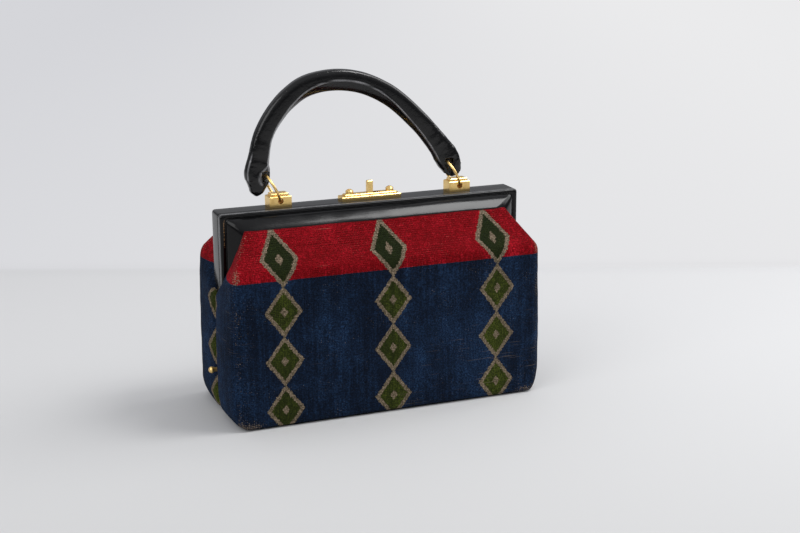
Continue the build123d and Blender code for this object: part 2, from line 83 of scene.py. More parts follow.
HASH_AXES, HASH_SEED = (374761393, 668265263, 2147483647), 1274126177
HASH_TURN, HASH_STEP, HASH_MASK = 1103515245, 12345, 0x7FFFFFFF


def value_noise(p, scale, seed, octaves=3):
    """Smooth 3-D value noise in -1..1 at points p (n, 3) in mm.

    Hashed values at the lattice points are blended by smoothstep; each octave has half the scale and weight.
    """
    total = np.zeros(len(p))
    weight = 1.0
    for k in range(octaves):
        q = p / (scale / 2**k)
        cell = np.floor(q).astype(np.int64)
        f = smooth01(q - cell)
        value = np.zeros(len(p))
        for number in range(8):
            corner = np.array([number & 1, number >> 1 & 1, number >> 2 & 1])
            h = ((cell + corner) @ np.array(HASH_AXES) + (seed + k) * HASH_SEED) & HASH_MASK
            h = ((h ^ (h >> 13)) * HASH_TURN + HASH_STEP) & HASH_MASK
            share = np.prod(np.where(corner, f, 1 - f), axis=1)
            value += share * (h / (HASH_MASK // 2) - 1)
        total += weight * value
        weight *= 0.5
    return total / (2 - 2 ** (1 - octaves))


def grid_noise(points, scale, seed, octaves):
    """value_noise on a grid of points (n, m, 3), as (n, m)."""
    return value_noise(points.reshape(-1, 3), scale, seed, octaves).reshape(points.shape[:2])


def grid_faces(rows, cols, close_cols=False, flip=False):
    """Quads of a rows x cols vertex grid; close_cols joins the last column to the first."""
    r = np.arange(rows - 1)[:, None]
    c = np.arange(cols if close_cols else cols - 1)[None, :]
    a = r * cols + c
    b = r * cols + (c + 1) % cols
    quads = np.stack([a, b, b + cols, a + cols], axis=-1).reshape(-1, 4)
    return quads[:, ::-1] if flip else quads


def closed_shell(outer, inner, flip):
    """Vertices and quads of two like grids (n, m, 3), joined along all four borders; flip turns the shell."""
    n, m = outer.shape[:2]
    index = np.arange(n * m).reshape(n, m)
    border = np.concatenate([index[0, :-1], index[:-1, -1], index[-1, :0:-1], index[:0:-1, 0]])
    after = np.roll(border, -1)
    rim = np.stack([border, after, after + n * m, border + n * m], axis=1)
    faces = np.concatenate([
        grid_faces(n, m, flip=not flip),
        grid_faces(n, m, flip=flip) + n * m,
        rim[:, ::-1] if flip else rim,
    ])
    return np.concatenate([outer.reshape(-1, 3), inner.reshape(-1, 3)]), faces


def closed_tube(rings, flip):
    """Vertices and faces of a tube of rings (n, m, 3), each end closed by a fan round its mean point.

    A fan's triangles are quads whose last two corners are the same.
    """
    n, m = rings.shape[:2]
    faces = [grid_faces(n, m, close_cols=True, flip=flip)]
    for row, middle, turned in ((0, n * m, not flip), (n - 1, n * m + 1, flip)):
        ring = row * m + np.arange(m)
        middles = np.full(m, middle)
        fan = np.stack([ring, np.roll(ring, -1), middles, middles], axis=1)
        faces.append(fan[:, [1, 0, 2, 3]] if turned else fan)
    return np.concatenate([rings.reshape(-1, 3), rings[[0, -1]].mean(axis=1)]), np.concatenate(faces)


def make_mesh(name, verts, faces, material, cloth=None, **masks):
    """Object at the origin, from vertices in mm and quads.

    A quad whose last two corners are the same is taken as a triangle.
    cloth (.., 2) is a map in mm, kept as the attribute surf; each mask is kept under its own name. Both are
    given per vertex for the materials, and are 0 at the vertices beyond their end.
    """
    is_triangle = faces[:, 2] == faces[:, 3]
    keep = np.ones(faces.shape, bool)
    keep[is_triangle, 3] = False
    corners = np.where(is_triangle, 3, 4)
    mesh = bpy.data.meshes.new(name)
    mesh.vertices.add(len(verts))
    mesh.vertices.foreach_set("co", (verts * MM).ravel())
    mesh.loops.add(int(corners.sum()))
    mesh.loops.foreach_set("vertex_index", faces[keep])
    mesh.polygons.add(len(faces))
    mesh.polygons.foreach_set("loop_start", np.cumsum(corners) - corners)
    mesh.polygons.foreach_set("use_smooth", np.ones(len(faces), bool))
    mesh.update(calc_edges=True)
    mesh.validate()
    if cloth is not None:
        full = np.zeros(len(verts) * 2)
        full[: cloth.size] = cloth.ravel()
        mesh.attributes.new("surf", "FLOAT2", "POINT").data.foreach_set("vector", full)
    for key, values in masks.items():
        full = np.zeros(len(verts))
        full[: values.size] = values.ravel()
        mesh.attributes.new(key, "FLOAT", "POINT").data.foreach_set("value", full)
    obj = bpy.data.objects.new(name, mesh)
    bpy.context.scene.collection.objects.link(obj)
    mesh.materials.append(material)
    return obj


def bend_path(points, radii, counts):
    """Paths through k corners, m at once, as points (k, m, 3): straight runs joined by quadratic bends.

    A bend leaves its corner P at P + r (A - P) / |A - P| on both sides; radii is (k, m), and counts holds the
    rows of each run and bend in turn. Returns (rows, m, 3) and each row's distance along its path.
    """
    points = np.asarray(points, float)

    def beside(corner, other, radius):
        """Point radius mm from the corner towards the other one."""
        away = other - corner
        return corner + radius[:, None] * away / np.maximum(np.linalg.norm(away, axis=1, keepdims=True), 1e-6)

    def steps(count, **ends):
        """Shares from 0 to 1, one a row."""
        return np.linspace(0, 1, count, **ends)[:, None, None]

    parts = []
    start = points[0]
    for i in range(1, len(points) - 1):
        into = beside(points[i], points[i - 1], radii[i])
        out = beside(points[i], points[i + 1], radii[i])
        t = steps(counts[2 * i - 2], endpoint=False)
        parts.append(start * (1 - t) + into * t)
        t = steps(counts[2 * i - 1], endpoint=False)
        parts.append(into * (1 - t) ** 2 + 2 * points[i] * t * (1 - t) + out * t * t)
        start = out
    t = steps(counts[-1])
    parts.append(start * (1 - t) + points[-1] * t)
    rows = np.concatenate(parts)
    step = np.linalg.norm(np.diff(rows, axis=0), axis=2)
    return rows, np.concatenate([np.zeros((1, rows.shape[1])), np.cumsum(step, axis=0)])


def spline_through(points, per_span):
    """Catmull-Rom curve through points (k, d): per_span samples a span, ends repeated."""
    pts = np.concatenate([[2 * points[0] - points[1]], points, [2 * points[-1] - points[-2]]])
    t = np.linspace(0, 1, per_span, endpoint=False)[:, None]
    spans = []
    for i in range(1, len(pts) - 2):
        a, b, c, d = pts[i - 1 : i + 3]
        cubic = (3 * b - a - 3 * c + d) * t**3
        spans.append(0.5 * (2 * b + (c - a) * t + (2 * a - 5 * b + 4 * c - d) * t**2 + cubic))
    return np.concatenate(spans + [points[-1:]])


# Velvet halves


def half_sizes(inset):
    """Valley gap, corner radius, half width and half depth of the surface inset mm inside the velvet."""
    return VALLEY_GAP + inset, CORNER - CORNER_SHARE * inset, HALF_WIDTH - inset, HALF_DEPTH - inset


def half_plan(inset):
    """Plan of one half as (m, 2): valley roll, side and corner on the right, the face, the left likewise.

    The roll and the corner are quarter circles. Returns the plan and how many points come before the face.
    """
    roll_count, side_count, corner_count, face_count = 10, 46, 14, 150
    near, corner, half_width, half_depth = half_sizes(inset)
    start_x, start_y = VALLEY_X - inset + VALLEY_ROLL, near + VALLEY_ROLL
    t = np.linspace(0, math.pi / 2, roll_count, endpoint=False)
    roll = np.stack([start_x - VALLEY_ROLL * (1 - np.sin(t)), start_y - VALLEY_ROLL * np.cos(t)], axis=1)
    t = np.linspace(0, 1, side_count, endpoint=False)
    end_x, end_y = half_width, half_depth - corner
    side = np.stack([start_x + (end_x - start_x) * t, start_y + (end_y - start_y) * t], axis=1)
    t = np.linspace(0, math.pi / 2, corner_count, endpoint=False)
    middle = np.array([half_width - corner, half_depth - corner])
    turn = middle + corner * np.stack([np.cos(t), np.sin(t)], axis=1)
    right = np.concatenate([roll, side, turn])
    face_x = np.linspace(middle[0], -middle[0], face_count)
    face = np.stack([face_x, np.full(face_count, half_depth)], axis=1)
    return np.concatenate([right, face, right[::-1] * [-1, 1]]), len(right)


def half_surface(half, inset, wrinkle):
    """One surface of a half, from under the base up over the shoulder to the frame, as (rows, cols, 3) in mm.

    Each point of the plan carries a bent path: under the base, foot bend, wall, shoulder bend, slope, edge.
    The sides swell by SIDE_SWELL sin(pi d)^0.7, fullest low down; d is 0 at the valley and 1 at the face.
    Also returns the cloth map: the way round the plan, which on the face is x itself, and the height.
    """
    plan, before_face = half_plan(inset)
    x, y = plan.T
    near, corner, half_width, half_depth = half_sizes(inset)
    side = np.sign(x)
    is_side = smooth01((half_depth - y) / corner)
    foot = FOOT + inset + (0.3 if half == FRONT else 0.0)
    # The shoulder is level along the face and falls towards the valley on the sides
    fall = np.clip((half_depth - y) / (HALF_DEPTH - 5.0), 0, 1)
    shoulder = SHOULDER - SHOULDER_SHARE * inset - SHOULDER_FALL * fall * is_side
    # The upper edge follows the roof line on the face and runs down the frame's bevel on the sides
    down = np.clip((half_depth - y) / (half_depth - near), 0, 1)
    side_top = side * (ROOF_EDGE_HALF + (FRAME_HALF - 0.2 - ROOF_EDGE_HALF) * down)
    top_x = np.where(is_side > 0, side_top, x * ROOF_EDGE_HALF / (HALF_WIDTH - CORNER))
    top_x = np.clip(top_x, -FRAME_HALF, FRAME_HALF)
    top_y = ROOF_EDGE_Y[half] + (VALLEY_EDGE_Y[half] - ROOF_EDGE_Y[half]) * down * is_side
    top_z = ROOF_EDGE_Z - EDGE_SHARE * inset - (ROOF_EDGE_Z - VALLEY_EDGE_Z) * down * is_side
    top_z = np.maximum(top_z, shoulder + 0.6)
    feet = np.full(len(x), foot)
    under = np.stack([0.8 * x, 0.5 * (y + near), feet], axis=1)
    wall_foot = np.stack([x, y, feet], axis=1)
    wall_top = np.stack([x, y, shoulder], axis=1)
    edge = np.stack([top_x, top_y, top_z], axis=1)
    foot_bend = 3.6 + 6.0 * smooth01((np.abs(x) - (half_width - corner)) / corner)
    shoulder_bend = np.minimum(4.0, 0.45 * np.linalg.norm(edge - wall_top, axis=1))
    none = np.zeros(len(x))
    radii = [none, foot_bend, shoulder_bend, none]
    rows, along = bend_path([under, wall_foot, wall_top, edge], radii, [10, 10, 74, 10, 34])
    z = rows[:, :, 2]
    depth = np.clip((y - 6.0) / (half_depth - 6.0), 0.02, 0.98)
    low_down = np.clip((z - foot) / 14.0, 0, 1) * np.clip((SHOULDER - z) / 60.0, 0, 1) ** 0.7
    rows[:, :, 0] += side * SIDE_SWELL * np.sin(math.pi * depth) ** 0.7 * low_down * is_side
    # The lower rim droops past the base panel's edge, almost to the ground
    past_base = np.maximum(
        smooth01((np.abs(rows[:, :, 0]) - 110.4) / 2.4), smooth01((np.abs(rows[:, :, 1]) - 45.9) / 2.0))
    rows[:, :, 2] -= RIM_DROOP * past_base * smooth01(1 - (z - foot) / 9)
    # Slack and small dents of the cloth, none along the foot and the upper edge
    dent = grid_noise(rows, 46.0, 11 + half, 2) * 0.75 + grid_noise(rows, 11.0, 23 + half, 2) * 0.22
    upward = 0.7 * smooth01((z - SHOULDER) / 6.0)
    outward = np.stack(np.broadcast_arrays(side * is_side, 1 - is_side, upward), axis=-1)
    keep = smooth01((z - foot - 2) / 8) * smooth01((along[-1] - along) / 7.0)
    rows += outward * (dent * keep * wrinkle)[:, :, None]
    rows[:, :, 1] *= half
    around = np.concatenate([[0], np.cumsum(np.linalg.norm(np.diff(plan, axis=0), axis=1))])
    shift = x - rows[:, :, 0]
    shift[:, :before_face] = shift[:, [before_face]]
    shift[:, -before_face:] = shift[:, [-before_face - 1]]
    return rows, np.stack([around - around[-1] / 2 + shift, z], axis=-1)


def half_wall(half, inset, thickness, wrinkle):
    """Closed wall of one half between two of its surfaces: vertices, faces and the cloth map."""
    outer, cloth = half_surface(half, inset, wrinkle)
    inner, _ = half_surface(half, inset + thickness, wrinkle)
    verts, faces = closed_shell(outer, inner, flip=half == REAR)
    return verts, faces, np.stack([cloth, cloth])


def worn_places(verts):
    """Where the velvet is worn: upright, shoulder and foot corners, and the roof's slanting ridges."""
    ax, ay, z = np.abs(verts[:, 0]), np.abs(verts[:, 1]), verts[:, 2]
    upright = bell(ax - 118.5, 3.0) * bell(ay - 47.4, 3.0) * (0.28 + 0.12 * np.sin(z / 6.0))
    shoulder = bell(z - 115.0, 5.0) * smooth01((ax - 112.5) / 6) * smooth01((ay - 41) / 6) * 0.8
    foot = bell(z - 3.4, 3.0) * smooth01((ax - 96) / 12) * smooth01((ay - 40) / 6) * 0.75
    ridge_x = 120 - (z - 117) * 0.70
    ridge = bell(ax - ridge_x, 2.2) * smooth01((z - 112) / 6) * smooth01((ay - 18) / 6) * 0.46
    return np.clip(upright + shoulder + foot + ridge, 0, 0.66)


def velvet_cover(name, half, material):
    """Velvet of one half, with its worn places as the mask wear."""
    verts, faces, cloth = half_wall(half, 0.0, VELVET_WALL, 1.0)
    return make_mesh(name, verts, faces, material, cloth, wear=worn_places(verts))


def lining_skin(name, half, material):
    """Leather lining inside the board, smoother than the velvet."""
    verts, faces, cloth = half_wall(half, LINING_INSET, LINING_WALL, 0.6)
    return make_mesh(name, verts, faces, material, cloth)


# Frame leather

# Sections as (q, y): q is the share of the way in from the frame's outline to the bevel's inner edge
FRAME_SECTION = {
    FRONT: [
        (0.42, -5.3), (0.30, -5.2), (0.03, -5.2), (0.006, -5.3), (-0.004, -5.6), (-0.006, -6.6),
        (-0.006, -8.6), (0.0, -9.6), (0.015, -10.2), (0.04, -10.7), (0.08, -11.05), (0.13, -11.25),
        (0.19, -11.25), (0.225, -11.1), (0.245, -10.9), (0.26, -10.85), (0.275, -11.1), (0.295, -11.7),
        (0.33, -12.6), (0.39, -13.7), (0.47, -15.0), (0.56, -16.2), (0.66, -17.4), (0.76, -18.6),
        (0.86, -19.6), (0.94, -20.4), (1.0, -20.9), (1.04, -21.0), (1.07, -20.6), (1.08, -20.0),
        (1.02, -17.5), (0.86, -12.0), (0.68, -7.0),
    ],
    REAR: [
        (0.5, -4.7), (0.36, -4.8), (0.03, -4.8), (0.008, -4.7), (-0.002, -4.3), (-0.005, -3.2), (-0.005, 4.0),
        (-0.004, 9.6), (0.0, 10.6), (0.015, 11.3), (0.05, 11.9), (0.12, 12.9), (0.24, 14.4), (0.38, 16.0),
        (0.55, 17.7), (0.72, 19.4), (0.86, 20.9), (0.95, 21.8), (1.01, 22.3), (1.05, 22.2), (1.08, 21.3),
        (1.02, 16.0), (0.88, 6.0), (0.70, -2.0),
    ],
}
# The painted highlight line along each half's outer edge: its y and its strength
EDGE_HIGHLIGHT_LINE = {FRONT: (-9.3, 1.0), REAR: (10.2, 0.6)}


def frame_skin(name, half, material):
    """Leather-covered frame half: a closed section carried round a U, whose bends grow towards the bevel.

    The front section has a bead along the parting line, a groove and a padded bevel; the rear one a bevel.
    A section point runs at x = FRAME_HALF - BEVEL_IN q and z = FRAME_TOP - BEVEL_DROP q.
    """
    q, y = np.array(FRAME_SECTION[half]).T
    x, z = FRAME_HALF - BEVEL_IN * q, FRAME_TOP - BEVEL_DROP * q
    left_foot = np.stack([-x, y, np.full(len(q), FRAME_FOOT)], axis=1)
    left_top = np.stack([-x, y, z], axis=1)
    mirror = np.array([-1, 1, 1])
    outline = [left_foot, left_top, left_top * mirror, left_foot * mirror]
    bend, none = 2.6 + 5.0 * np.clip(q, 0, 1), np.zeros(len(q))
    rows, along = bend_path(outline, [none, bend, bend, none], [70, 14, 140, 14, 70])
    padding = grid_noise(rows, 34.0, 5, 3) * 0.3
    rows[:, :, 1] += half * padding * smooth01((np.abs(rows[:, :, 1]) - 9.5) / 5)
    verts, faces = closed_tube(rows, flip=half == REAR)
    # Painted highlight: a pale line along each half's outer edge, passed to the material as the mask edge
    highlight_y, highlight_strength = EDGE_HIGHLIGHT_LINE[half]
    edge = bell((q + 0.002) * BEVEL_IN, 0.5) * bell(y - highlight_y, 0.55) * highlight_strength
    # A short tan scuff down the front's left leg, in the groove beside the bead
    height = rows[:, :, 2]
    scuff = bell((q - 0.165) * BEVEL_IN, 0.5) * bell(y + 11.2, 0.6) * (rows[:, :, 0] < -100) * (half == FRONT)
    scuff = scuff * smooth01((height - 122) / 10) * smooth01((151 - height) / 2)
    return make_mesh(
        name, verts, faces, material, np.stack([along, np.broadcast_to(q * 16, along.shape)], axis=-1),
        edge=np.broadcast_to(edge, along.shape), scuff=scuff)


# Handle

# Middle line in x and z, with the section's half width across the arch and its half depth along y
HANDLE_LINE = np.array([
    (-88.2, 162.3, 0.4, 0.5),
    (-87.8, 163.0, 2.6, 2.6),
    (-87.2, 164.8, 4.4, 3.8),
    (-86.2, 168.0, 6.2, 4.5),
    (-85.4, 173.5, 9.0, 4.8),
    (-85.4, 180.5, 9.4, 5.0),
    (-83.8, 190.0, 8.1, 5.2),
    (-79.8, 206.0, 7.3, 5.2),
    (-72.0, 219.5, 7.3, 5.2),
    (-61.0, 231.5, 7.6, 5.2),
    (-45.5, 240.8, 7.8, 5.2),
    (-24.0, 243.8, 7.9, 5.2),
    (-2.0, 239.9, 7.9, 5.2),
    (20.0, 228.6, 7.8, 5.2),
    (41.0, 209.8, 7.7, 5.2),
    (55.5, 193.2, 8.3, 5.2),
    (63.4, 182.4, 9.4, 5.1),
    (67.4, 175.6, 9.0, 4.9),
    (69.8, 170.0, 7.4, 4.6),
    (70.6, 167.0, 5.4, 4.0),
    (71.0, 165.4, 3.2, 3.0),
    (71.2, 164.6, 0.4, 0.5),
])
FLAP_LINE = np.array([(-76.6, 185.5), (-80.2, 182.4), (-83.8, 178.6), (-85.0, 174.2), (-83.4, 170.6)])
SECTION_COUNT, SECTION_POWER = 132, 3.1


def from_ends(length, start, reach):
    """0 within start mm of either end of the handle, rising to 1 over the next reach mm."""
    return smooth01((length - start) / reach) * smooth01((length[-1] - start - length) / reach)


def handle_skin(name, material):
    """Leather of the handle: superellipses |a / w|^p + |b / d|^p = 1 carried along a spline.

    a runs across the arch, outward, b along y, and p is SECTION_POWER. A sewn ridge runs along each flat side
    at a = ridge, and inside it the depth falls by 62 %. The left end has a folded flap, each end a recess.
    """
    x, z, w, d = spline_through(HANDLE_LINE, 26).T
    direction = np.gradient(np.stack([x, z], axis=1), axis=0)
    direction /= np.linalg.norm(direction, axis=1, keepdims=True)
    out_x, out_z = -direction[:, [1]], direction[:, [0]]
    length = np.concatenate([[0], np.cumsum(np.hypot(np.diff(x), np.diff(z)))])
    angle = np.linspace(0, 2 * math.pi, SECTION_COUNT, endpoint=False)
    across = np.sign(np.cos(angle)) * np.abs(np.cos(angle)) ** (2 / SECTION_POWER)
    along_y = np.sign(np.sin(angle)) * np.abs(np.sin(angle)) ** (2 / SECTION_POWER)
    a, b = w[:, None] * across, d[:, None] * along_y
    # The ridge is in the middle on the arch's crown and near the inner edge on both legs
    ridge = (w * (-0.84 + 0.86 * bell(x + 14, 48)))[:, None]
    sewn = from_ends(length, 14, 10)[:, None]
    inside = np.clip((ridge - a) / (w[:, None] + ridge), 0, 1)
    b = b * (1 - 0.62 * inside**1.15 * sewn)
    seam = bell(a - ridge, 0.42) * sewn
    b = b + np.sign(along_y) * 0.6 * seam * (np.abs(b) > 1.2)
    skin = np.stack([x[:, None] + out_x * a, HANDLE_Y + b, z[:, None] + out_z * a], axis=-1)
    # Soft folds across the handle, deeper near the ends
    folded = np.stack([np.broadcast_to(length[:, None], a.shape), skin[:, :, 1] * 0.35, a * 0.35], axis=-1)
    fold_depth = 0.10 + 0.62 * (1 - from_ends(length, 20, 40))[:, None]
    push = fold_depth * grid_noise(folded, 7.0, 41, 3) + 0.20 * grid_noise(skin, 18.0, 43, 2)
    push = push * from_ends(length, 0, 6)[:, None]
    skin += push[:, :, None] * np.stack(np.broadcast_arrays(out_x * across, along_y, out_z * across), axis=-1)
    # The flap's raised fold on the front, round the left end's recess; it also carries a painted highlight
    # line
    nearest = np.full(a.shape, 9.0)
    for fold_x, fold_z in spline_through(FLAP_LINE, 8):
        nearest = np.minimum(nearest, np.hypot(skin[:, :, 0] - fold_x, skin[:, :, 2] - fold_z))
    on_front = smooth01((3.0 - skin[:, :, 1]) / 2)
    fold = bell(nearest, 0.75) * on_front
    skin[:, :, 1] -= 0.7 * fold
    # A painted highlight line down the left end's outer edge
    outer_edge_highlight = bell(a / w[:, None] - 0.86, 0.05) * on_front
    outer_edge_highlight = outer_edge_highlight * (smooth01((length - 8) / 6) * smooth01((34 - length) / 8))[:, None]
    # Recesses where the rings come out
    sx, sz = skin[:, :, 0], skin[:, :, 2]
    left = smooth01((sx + 83.6) / 1.1) * (sx < 0)
    left = left * smooth01((180.4 - sz) / 1.1) * smooth01((sz - 172.6) / 1.1)
    right = smooth01((sx - 61.8) / 1.2) * smooth01((69.4 - sx) / 1.8) * (sx > 0)
    right = right * smooth01((179.6 - sz) / 1.5)
    skin[:, :, 1] = HANDLE_Y + (skin[:, :, 1] - HANDLE_Y) * (1 - 0.62 * np.maximum(left, right))
    verts, faces = closed_tube(skin, flip=True)
    cloth = np.stack(np.broadcast_arrays(length[:, None], angle * 6), axis=-1)
    # Painted highlight: the mask edge lays pale lines along the sewn ridge, the flap's fold and the left
    # end's outer edge
    return make_mesh(
        name, verts, faces, material, cloth, edge=np.clip(seam + fold * 0.9 + outer_edge_highlight, 0, 1))


# Gussets


def gusset_skin(name, side, material):
    """Soft pleat between the frame legs: x = 108.3 - 8.6 (cos(pi k) + 1) / 2 with k from -1 to 1 along y."""
    z, k = np.meshgrid(np.linspace(14.0, 136.0, 90), np.linspace(-1, 1, 40), indexing="ij")
    slack = grid_noise(np.stack([z, k * 6, np.zeros(z.shape)], axis=-1), 26.0, 61, 2)
    x = 108.3 - 8.6 * (np.cos(math.pi * k) + 1) / 2 * (1 + 0.12 * slack)
    outer = np.stack([side * x, 6.4 * k - 2.5, z], axis=-1)
    verts, faces = closed_shell(outer, outer - [side * GUSSET_WALL, 0, 0], flip=side > 0)
    cloth = np.stack([k, z], axis=-1)
    return make_mesh(name, verts, faces, material, np.stack([cloth, cloth]))


# Materials


def gray(value, blue=None):
    """Neutral colour; blue, when given, replaces its last channel."""
    return (value, value, value if blue is None else blue, 1)


class Graph:
    """Small helper that adds nodes to a tree and wires them."""

    def __init__(self, tree):
        self.tree = tree

    def feed(self, socket, value):
        """Link a socket to another one's output, or set its constant."""
        if isinstance(value, bpy.types.NodeSocket):
            self.tree.links.new(value, socket)
        else:
            socket.default_value = value

    def node(self, kind, inputs=None, **settings):
        """New node with its settings, then its inputs fed by name or number."""
        n = self.tree.nodes.new(kind)
        for key, value in settings.items():
            setattr(n, key, value)
        for key, value in (inputs or {}).items():
            self.feed(n.inputs[key], value)
        return n

    def group(self, tree, **inputs):
        """A shared effect with its own values; returns the node's outputs."""
        return self.node("ShaderNodeGroup", inputs, node_tree=tree).outputs

    def math(self, operation, a, b=0.0, c=0.0, clamp=False):
        """Math node on up to three values."""
        n = self.node("ShaderNodeMath", {0: a, 1: b, 2: c}, operation=operation, use_clamp=clamp)
        return n.outputs[0]

    def mix(self, factor, a, b, blend="MIX"):
        """Colour mix; sockets 6 and 7 are the node's two colours."""
        n = self.node("ShaderNodeMix", {0: factor, 6: a, 7: b}, data_type="RGBA", blend_type=blend)
        return n.outputs[2]

    def noise(self, vector, scale, detail=3.0, roughness=0.55):
        """Noise value at a vector in metres, so scale is in waves a metre."""
        inputs = {"Vector": vector, "Scale": scale, "Detail": detail, "Roughness": roughness}
        return self.node("ShaderNodeTexNoise", inputs).outputs["Fac"]

    def ramp(self, value, low, high):
        """Smooth step of value from low to high."""
        n = self.node("ShaderNodeMapRange", {0: value, 1: low, 2: high}, interpolation_type="SMOOTHSTEP")
        return n.outputs[0]

    def stretch(self, vector, scale):
        """Vector times scale, axis by axis."""
        return self.node("ShaderNodeVectorMath", {0: vector, 1: scale}, operation="MULTIPLY").outputs[0]

    def mask(self, name):
        """A piece's own attribute of one value per vertex."""
        return self.node("ShaderNodeAttribute", attribute_name=name).outputs["Fac"]

    def object_coords(self):
        """Place in metres, fixed to the piece."""
        return self.node("ShaderNodeTexCoord").outputs["Object"]

    def camera_ray(self):
        """1 for what the camera itself sees, 0 for light and reflections."""
        return self.node("ShaderNodeLightPath").outputs["Is Camera Ray"]


def new_material(name):
    """Empty node material with its helper and its Principled shader."""
    mat = bpy.data.materials.new(name)
    mat.use_nodes = True
    return mat, Graph(mat.node_tree), mat.node_tree.nodes["Principled BSDF"]


def effect_group(name, inputs, outputs):
    """Empty shader node group, whose inputs have a start value, or None for a vector.

    Returns its helper, the values given to it and the sockets of its result.
    """
    tree = bpy.data.node_groups.new(name, "ShaderNodeTree")
    for key, value in inputs.items():
        kind = "NodeSocketVector" if value is None else "NodeSocketFloat"
        socket = tree.interface.new_socket(key, in_out="INPUT", socket_type=kind)
        if value is not None:
            socket.default_value = value
    for key in outputs:
        tree.interface.new_socket(key, in_out="OUTPUT", socket_type="NodeSocketFloat")
    g = Graph(tree)
    return g, g.node("NodeGroupInput").outputs, g.node("NodeGroupOutput").inputs


def patches_group():
    """Soft uneven patches: a smooth step of turbulent noise between two levels."""
    g, given, result = effect_group(
        "soft_patches", {"Vector": None, "Scale": 20.0, "Low": 0.4, "High": 0.7}, ["Mask"])
    cloud = g.noise(given["Vector"], given["Scale"], 5.0, 0.6)
    g.feed(result["Mask"], g.ramp(cloud, given["Low"], given["High"]))
    return g.tree


def weave_group():
    """Woven pile over a cloth map in mm: ribs up and across, clumped tufts and a fine grain."""
    g, given, result = effect_group(
        "woven_pile", {"Cloth": None, "Object": None, "Rib": 1.0}, ["Ribs", "Grain", "Height"])
    place = given["Object"]
    split = g.node("ShaderNodeSeparateXYZ", {0: given["Cloth"]}).outputs
    turn = g.math("DIVIDE", 2 * math.pi, given["Rib"])
    wander = g.math("MULTIPLY_ADD", g.noise(place, 160.0, 2.0), 2.4, -1.2)
    upright = g.math("SINE", g.math("MULTIPLY_ADD", split[0], turn, wander))
    level = g.math("SINE", g.math("MULTIPLY_ADD", split[1], turn, wander))
    tufts = g.noise(place, 820.0, 3.0, 0.65)
    fine = g.noise(place, 1500.0, 2.0, 0.6)
    uneven = g.ramp(g.noise(place, 55.0, 3.0), 0.38, 0.66)
    ribs = g.math("MULTIPLY_ADD", level, 0.55, g.math("MULTIPLY", upright, 0.45))
    ribs = g.math("MULTIPLY", ribs, g.math("MULTIPLY_ADD", uneven, 0.75, 0.25))
    grain = g.ramp(g.math("MULTIPLY_ADD", tufts, 0.6, g.math("MULTIPLY", fine, 0.4)), 0.36, 0.64)
    g.feed(result["Ribs"], ribs)
    g.feed(result["Grain"], grain)
    g.feed(result["Height"], g.math("MULTIPLY_ADD", ribs, 0.7, grain))
    return g.tree


def creases_group():
    """Leather surface: fine pores, soft folds and a net of creases, as one height."""
    g, given, result = effect_group("leather_creases", {"Vector": None, "Fold": 0.5}, ["Height"])
    place = given["Vector"]
    pores = g.node("ShaderNodeTexVoronoi", {"Vector": place, "Scale": 1500.0}).outputs["Distance"]
    net = g.node("ShaderNodeTexVoronoi", {"Vector": place, "Scale": 260.0}, feature="DISTANCE_TO_EDGE")
    net = g.math("MULTIPLY", g.ramp(net.outputs["Distance"], 0.0, 0.12), 0.16)
    folds = g.math("MULTIPLY", g.math("ADD", g.noise(place, 70.0, 5.0, 0.6), net), given["Fold"])
    g.feed(result["Height"], g.math("MULTIPLY_ADD", pores, 0.06, folds))
    return g.tree


PATCHES, WEAVE, CREASES = patches_group(), weave_group(), creases_group()

# Velvet colours, each as in shade and as lit pile
NAVY, NAVY_LIT = (0.0055, 0.0120, 0.0290, 1), (0.024, 0.064, 0.155, 1)
CRIMSON, CRIMSON_LIT = (0.25, 0.0012, 0.004, 1), (0.72, 0.014, 0.032, 1)
OLIVE_DARK, OLIVE, OLIVE_LIT = (0.018, 0.026, 0.007, 1), (0.030, 0.040, 0.008, 1), (0.115, 0.150, 0.020, 1)
BEIGE, THREAD = (0.26, 0.195, 0.13, 1), (0.42, 0.32, 0.225, 1)
CHAIN_PITCH, LOZENGE_WIDE, LOZENGE_TALL = 84.0, 29.0, 37.0


def lozenges(g, u, v):
    """Chains of lozenges up the cloth: |du| / a + |dv| / b, 0 at each middle and 1 on its outline."""
    u = g.math("MODULO", g.math("ADD", u, CHAIN_PITCH * 40.5), CHAIN_PITCH)
    v = g.math("MODULO", g.math("ADD", v, LOZENGE_TALL * 40 + 5.0), LOZENGE_TALL)
    du = g.math("ABSOLUTE", g.math("SUBTRACT", u, CHAIN_PITCH / 2))
    dv = g.math("ABSOLUTE", g.math("SUBTRACT", v, LOZENGE_TALL / 2))
    return g.math("ADD", g.math("DIVIDE", du, LOZENGE_WIDE / 2), g.math("DIVIDE", dv, LOZENGE_TALL / 2 + 0.8))


